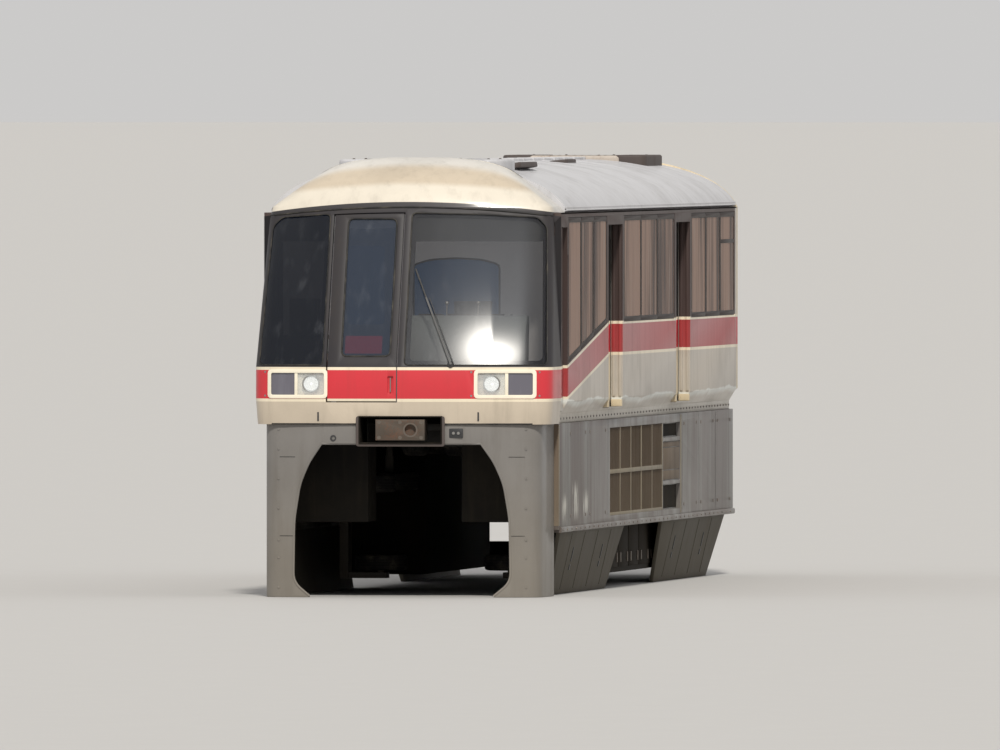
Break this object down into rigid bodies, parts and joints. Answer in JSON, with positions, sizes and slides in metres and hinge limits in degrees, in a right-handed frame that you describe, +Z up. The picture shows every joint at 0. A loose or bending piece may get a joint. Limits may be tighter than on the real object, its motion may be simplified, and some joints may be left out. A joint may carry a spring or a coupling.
{
  "type": "straddle-beam monorail lead car",
  "caption": "Straddle-beam monorail lead car with a raked glass front, sliding doors, skirts over two rubber-tyred bogies, and couplers at both ends.",
  "frame": {"origin": "on the running surface of the beam, on the centre line, at mid-length", "axes": "+X across to the car's left when looking towards the nose, +Y towards the rear, +Z up; the cab faces -Y"},
  "size_m": [3.038, 16.404, 4.45],
  "materials": {
    "cream_paint": "gloss cream paint with grime in the seams",
    "body_grey": "semi-gloss light grey-beige paint with a red band",
    "roof_grey": "matt light grey roof paint with rust at the crown",
    "apron_grey": "satin mid-grey paint, dusty",
    "skirt_grey": "satin blue-grey paint with vertical dirt streaks",
    "equipment_dark": "matt dark paint with rust and brake dust",
    "black_glass": "dark tinted glass",
    "lamp_glass": "clear lamp glass",
    "interior_grey": "moulded interior panel",
    "seat_fabric": "dark blue woven seat cover",
    "coupler_steel": "cast steel with rust",
    "bogie_frame": "dark grey chassis paint, oily dust",
    "tyre": "black rubber tyre on a painted wheel"
  },
  "bodies": {
    "car_body": {"underframe": "equipment_dark", "roof_shell": "roof_grey", "roof_equipment": "equipment_dark", "rear_end_wall": "cream_paint", "cab_nose": "cream_paint", "cab_dome": "cream_paint", "cab_skirt": "apron_grey", "cab_desk": "interior_grey", "cab_seat": "seat_fabric", "cab_partition": "interior_grey", "side_wall_right": "body_grey", "skirt_right": "skirt_grey", "windscreen_right": "black_glass", "headlamp_right": "lamp_glass", "window_right_1": "black_glass", "window_right_2": "black_glass", "window_right_3": "black_glass", "side_wall_left": "body_grey", "skirt_left": "skirt_grey", "windscreen_left": "black_glass", "headlamp_left": "lamp_glass", "window_left_1": "black_glass", "window_left_2": "black_glass", "window_left_3": "black_glass", "wheel_housing_1": "interior_grey", "wheel_housing_2": "interior_grey"},
    "bogie_1": {"bogie_frame_1": "bogie_frame"},
    "wheelset_1_front": {"wheelset_1_front": "tyre"},
    "guide_wheel_1_front_right": {"guide_wheel_1_front_right": "tyre"},
    "guide_wheel_1_front_left": {"guide_wheel_1_front_left": "tyre"},
    "wheelset_1_rear": {"wheelset_1_rear": "tyre"},
    "guide_wheel_1_rear_right": {"guide_wheel_1_rear_right": "tyre"},
    "guide_wheel_1_rear_left": {"guide_wheel_1_rear_left": "tyre"},
    "stabilising_wheel_1_right": {"stabilising_wheel_1_right": "tyre"},
    "stabilising_wheel_1_left": {"stabilising_wheel_1_left": "tyre"},
    "bogie_2": {"bogie_frame_2": "bogie_frame"},
    "wheelset_2_front": {"wheelset_2_front": "tyre"},
    "guide_wheel_2_front_right": {"guide_wheel_2_front_right": "tyre"},
    "guide_wheel_2_front_left": {"guide_wheel_2_front_left": "tyre"},
    "wheelset_2_rear": {"wheelset_2_rear": "tyre"},
    "guide_wheel_2_rear_right": {"guide_wheel_2_rear_right": "tyre"},
    "guide_wheel_2_rear_left": {"guide_wheel_2_rear_left": "tyre"},
    "stabilising_wheel_2_right": {"stabilising_wheel_2_right": "tyre"},
    "stabilising_wheel_2_left": {"stabilising_wheel_2_left": "tyre"},
    "door_leaf_right_1_front": {"door_leaf_right_1_front": "body_grey"},
    "door_leaf_right_1_rear": {"door_leaf_right_1_rear": "body_grey"},
    "door_leaf_right_2_front": {"door_leaf_right_2_front": "body_grey"},
    "door_leaf_right_2_rear": {"door_leaf_right_2_rear": "body_grey"},
    "crew_door_right": {"crew_door_right": "body_grey"},
    "door_leaf_left_1_front": {"door_leaf_left_1_front": "body_grey"},
    "door_leaf_left_1_rear": {"door_leaf_left_1_rear": "body_grey"},
    "door_leaf_left_2_front": {"door_leaf_left_2_front": "body_grey"},
    "door_leaf_left_2_rear": {"door_leaf_left_2_rear": "body_grey"},
    "crew_door_left": {"crew_door_left": "body_grey"},
    "emergency_door": {"emergency_door": "black_glass"},
    "partition_door": {"partition_door": "interior_grey"},
    "end_door": {"end_door": "body_grey"},
    "coupler_front": {"coupler_front": "coupler_steel"},
    "coupler_rear": {"coupler_rear": "coupler_steel"}
  },
  "joints": [
    {"name": "bogie_1_steer", "type": "hinge", "parent": "car_body", "child": "bogie_1", "pos_m": [0, -4.5, 0.35], "axis": [0, 0, 1], "range_deg": [-4, 4]},
    {"name": "wheelset_1_front_spin", "type": "hinge", "parent": "bogie_1", "child": "wheelset_1_front", "pos_m": [0, -5.25, 0.485], "axis": [1, 0, 0], "continuous": true},
    {"name": "guide_wheel_1_front_right_spin", "type": "hinge", "parent": "bogie_1", "child": "guide_wheel_1_front_right", "pos_m": [0.7, -5.4, -0.28], "axis": [0, 0, 1], "continuous": true},
    {"name": "guide_wheel_1_front_left_spin", "type": "hinge", "parent": "bogie_1", "child": "guide_wheel_1_front_left", "pos_m": [-0.7, -5.4, -0.28], "axis": [0, 0, 1], "continuous": true},
    {"name": "wheelset_1_rear_spin", "type": "hinge", "parent": "bogie_1", "child": "wheelset_1_rear", "pos_m": [0, -3.75, 0.485], "axis": [1, 0, 0], "continuous": true},
    {"name": "guide_wheel_1_rear_right_spin", "type": "hinge", "parent": "bogie_1", "child": "guide_wheel_1_rear_right", "pos_m": [0.7, -3.6, -0.28], "axis": [0, 0, 1], "continuous": true},
    {"name": "guide_wheel_1_rear_left_spin", "type": "hinge", "parent": "bogie_1", "child": "guide_wheel_1_rear_left", "pos_m": [-0.7, -3.6, -0.28], "axis": [0, 0, 1], "continuous": true},
    {"name": "stabilising_wheel_1_right_spin", "type": "hinge", "parent": "bogie_1", "child": "stabilising_wheel_1_right", "pos_m": [0.67, -4.5, -1.1], "axis": [0, 0, 1], "continuous": true},
    {"name": "stabilising_wheel_1_left_spin", "type": "hinge", "parent": "bogie_1", "child": "stabilising_wheel_1_left", "pos_m": [-0.67, -4.5, -1.1], "axis": [0, 0, 1], "continuous": true},
    {"name": "bogie_2_steer", "type": "hinge", "parent": "car_body", "child": "bogie_2", "pos_m": [0, 5.1, 0.35], "axis": [0, 0, 1], "range_deg": [-4, 4]},
    {"name": "wheelset_2_front_spin", "type": "hinge", "parent": "bogie_2", "child": "wheelset_2_front", "pos_m": [0, 4.35, 0.485], "axis": [1, 0, 0], "continuous": true},
    {"name": "guide_wheel_2_front_right_spin", "type": "hinge", "parent": "bogie_2", "child": "guide_wheel_2_front_right", "pos_m": [0.7, 4.2, -0.28], "axis": [0, 0, 1], "continuous": true},
    {"name": "guide_wheel_2_front_left_spin", "type": "hinge", "parent": "bogie_2", "child": "guide_wheel_2_front_left", "pos_m": [-0.7, 4.2, -0.28], "axis": [0, 0, 1], "continuous": true},
    {"name": "wheelset_2_rear_spin", "type": "hinge", "parent": "bogie_2", "child": "wheelset_2_rear", "pos_m": [0, 5.85, 0.485], "axis": [1, 0, 0], "continuous": true},
    {"name": "guide_wheel_2_rear_right_spin", "type": "hinge", "parent": "bogie_2", "child": "guide_wheel_2_rear_right", "pos_m": [0.7, 6, -0.28], "axis": [0, 0, 1], "continuous": true},
    {"name": "guide_wheel_2_rear_left_spin", "type": "hinge", "parent": "bogie_2", "child": "guide_wheel_2_rear_left", "pos_m": [-0.7, 6, -0.28], "axis": [0, 0, 1], "continuous": true},
    {"name": "stabilising_wheel_2_right_spin", "type": "hinge", "parent": "bogie_2", "child": "stabilising_wheel_2_right", "pos_m": [0.67, 5.1, -1.1], "axis": [0, 0, 1], "continuous": true},
    {"name": "stabilising_wheel_2_left_spin", "type": "hinge", "parent": "bogie_2", "child": "stabilising_wheel_2_left", "pos_m": [-0.67, 5.1, -1.1], "axis": [0, 0, 1], "continuous": true},
    {"name": "door_leaf_right_1_front_slide", "type": "slide", "parent": "car_body", "child": "door_leaf_right_1_front", "axis": [0, 1, 0], "range_m": [-0.58, 0]},
    {"name": "door_leaf_right_1_rear_slide", "type": "slide", "parent": "car_body", "child": "door_leaf_right_1_rear", "axis": [0, 1, 0], "range_m": [0, 0.58]},
    {"name": "door_leaf_right_2_front_slide", "type": "slide", "parent": "car_body", "child": "door_leaf_right_2_front", "axis": [0, 1, 0], "range_m": [-0.58, 0]},
    {"name": "door_leaf_right_2_rear_slide", "type": "slide", "parent": "car_body", "child": "door_leaf_right_2_rear", "axis": [0, 1, 0], "range_m": [0, 0.58]},
    {"name": "crew_door_right_hinge", "type": "hinge", "parent": "car_body", "child": "crew_door_right", "pos_m": [1.44, -6.668, 1.4], "axis": [0, 0, -1], "range_deg": [0, 85]},
    {"name": "door_leaf_left_1_front_slide", "type": "slide", "parent": "car_body", "child": "door_leaf_left_1_front", "axis": [0, 1, 0], "range_m": [-0.58, 0]},
    {"name": "door_leaf_left_1_rear_slide", "type": "slide", "parent": "car_body", "child": "door_leaf_left_1_rear", "axis": [0, 1, 0], "range_m": [0, 0.58]},
    {"name": "door_leaf_left_2_front_slide", "type": "slide", "parent": "car_body", "child": "door_leaf_left_2_front", "axis": [0, 1, 0], "range_m": [-0.58, 0]},
    {"name": "door_leaf_left_2_rear_slide", "type": "slide", "parent": "car_body", "child": "door_leaf_left_2_rear", "axis": [0, 1, 0], "range_m": [0, 0.58]},
    {"name": "crew_door_left_hinge", "type": "hinge", "parent": "car_body", "child": "crew_door_left", "pos_m": [-1.44, -6.668, 1.4], "axis": [0, 0, 1], "range_deg": [0, 85]},
    {"name": "emergency_door_hinge", "type": "hinge", "parent": "car_body", "child": "emergency_door", "pos_m": [-0.7535, -7.80497, 1.7], "axis": [0, -0.3919, -0.92], "range_deg": [0, 90]},
    {"name": "partition_door_hinge", "type": "hinge", "parent": "car_body", "child": "partition_door", "pos_m": [-0.852, -6.603, 1.4], "axis": [0, 0, 1], "range_deg": [0, 90]},
    {"name": "end_door_slide", "type": "slide", "parent": "car_body", "child": "end_door", "axis": [-1, 0, 0], "range_m": [0, 0.8]},
    {"name": "coupler_front_swing", "type": "hinge", "parent": "car_body", "child": "coupler_front", "pos_m": [0, -7.45, 0.295], "axis": [0, 0, 1], "range_deg": [-8, 8]},
    {"name": "coupler_rear_swing", "type": "hinge", "parent": "car_body", "child": "coupler_rear", "pos_m": [0, 7.45, 0.295], "axis": [0, 0, 1], "range_deg": [-8, 8]}
  ],
  "couplings": [
    {"joint": "door_leaf_right_1_front_slide", "follows": "door_leaf_right_1_rear_slide", "ratio": -1},
    {"joint": "door_leaf_right_2_front_slide", "follows": "door_leaf_right_2_rear_slide", "ratio": -1},
    {"joint": "door_leaf_left_1_front_slide", "follows": "door_leaf_left_1_rear_slide", "ratio": -1},
    {"joint": "door_leaf_left_2_front_slide", "follows": "door_leaf_left_2_rear_slide", "ratio": -1}
  ]
}
